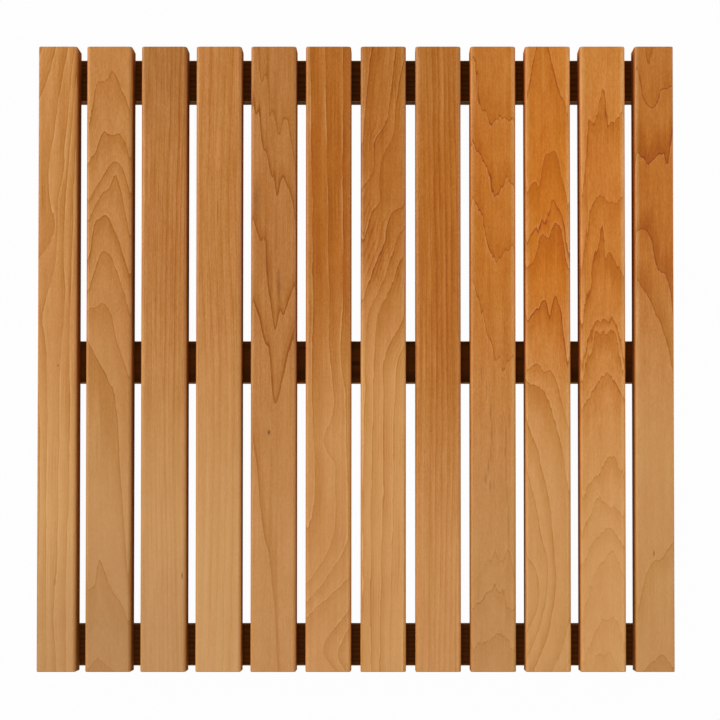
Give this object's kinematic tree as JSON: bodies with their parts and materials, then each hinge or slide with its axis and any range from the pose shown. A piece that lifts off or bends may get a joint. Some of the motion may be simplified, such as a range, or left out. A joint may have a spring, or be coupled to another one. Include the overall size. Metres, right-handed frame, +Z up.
{
  "type": "slatted wooden floor grating",
  "caption": "Flat floor grating of parallel wooden slats with eased edges, screwed from below onto cross battens, with gaps that let water drain and air pass.",
  "frame": {"origin": "on the floor, at the middle of the panel", "axes": "+X across the slats, +Y along the slats, +Z up from the floor to the tread"},
  "size_m": [0.6, 0.591, 0.043],
  "materials": {
    "slat_wood": "planed and oiled, satin",
    "batten_wood": "planed and oiled, satin",
    "screw_steel": "bright stainless"
  },
  "bodies": {
    "root": {"slat_01": "slat_wood", "slat_02": "slat_wood", "slat_03": "slat_wood", "slat_04": "slat_wood", "slat_05": "slat_wood", "slat_06": "slat_wood", "slat_07": "slat_wood", "slat_08": "slat_wood", "slat_09": "slat_wood", "slat_10": "slat_wood", "slat_11": "slat_wood", "slat_12": "slat_wood", "batten_front": "batten_wood", "batten_middle": "batten_wood", "batten_back": "batten_wood", "screws_front": "screw_steel", "screws_middle": "screw_steel", "screws_back": "screw_steel"}
  },
  "joints": []
}
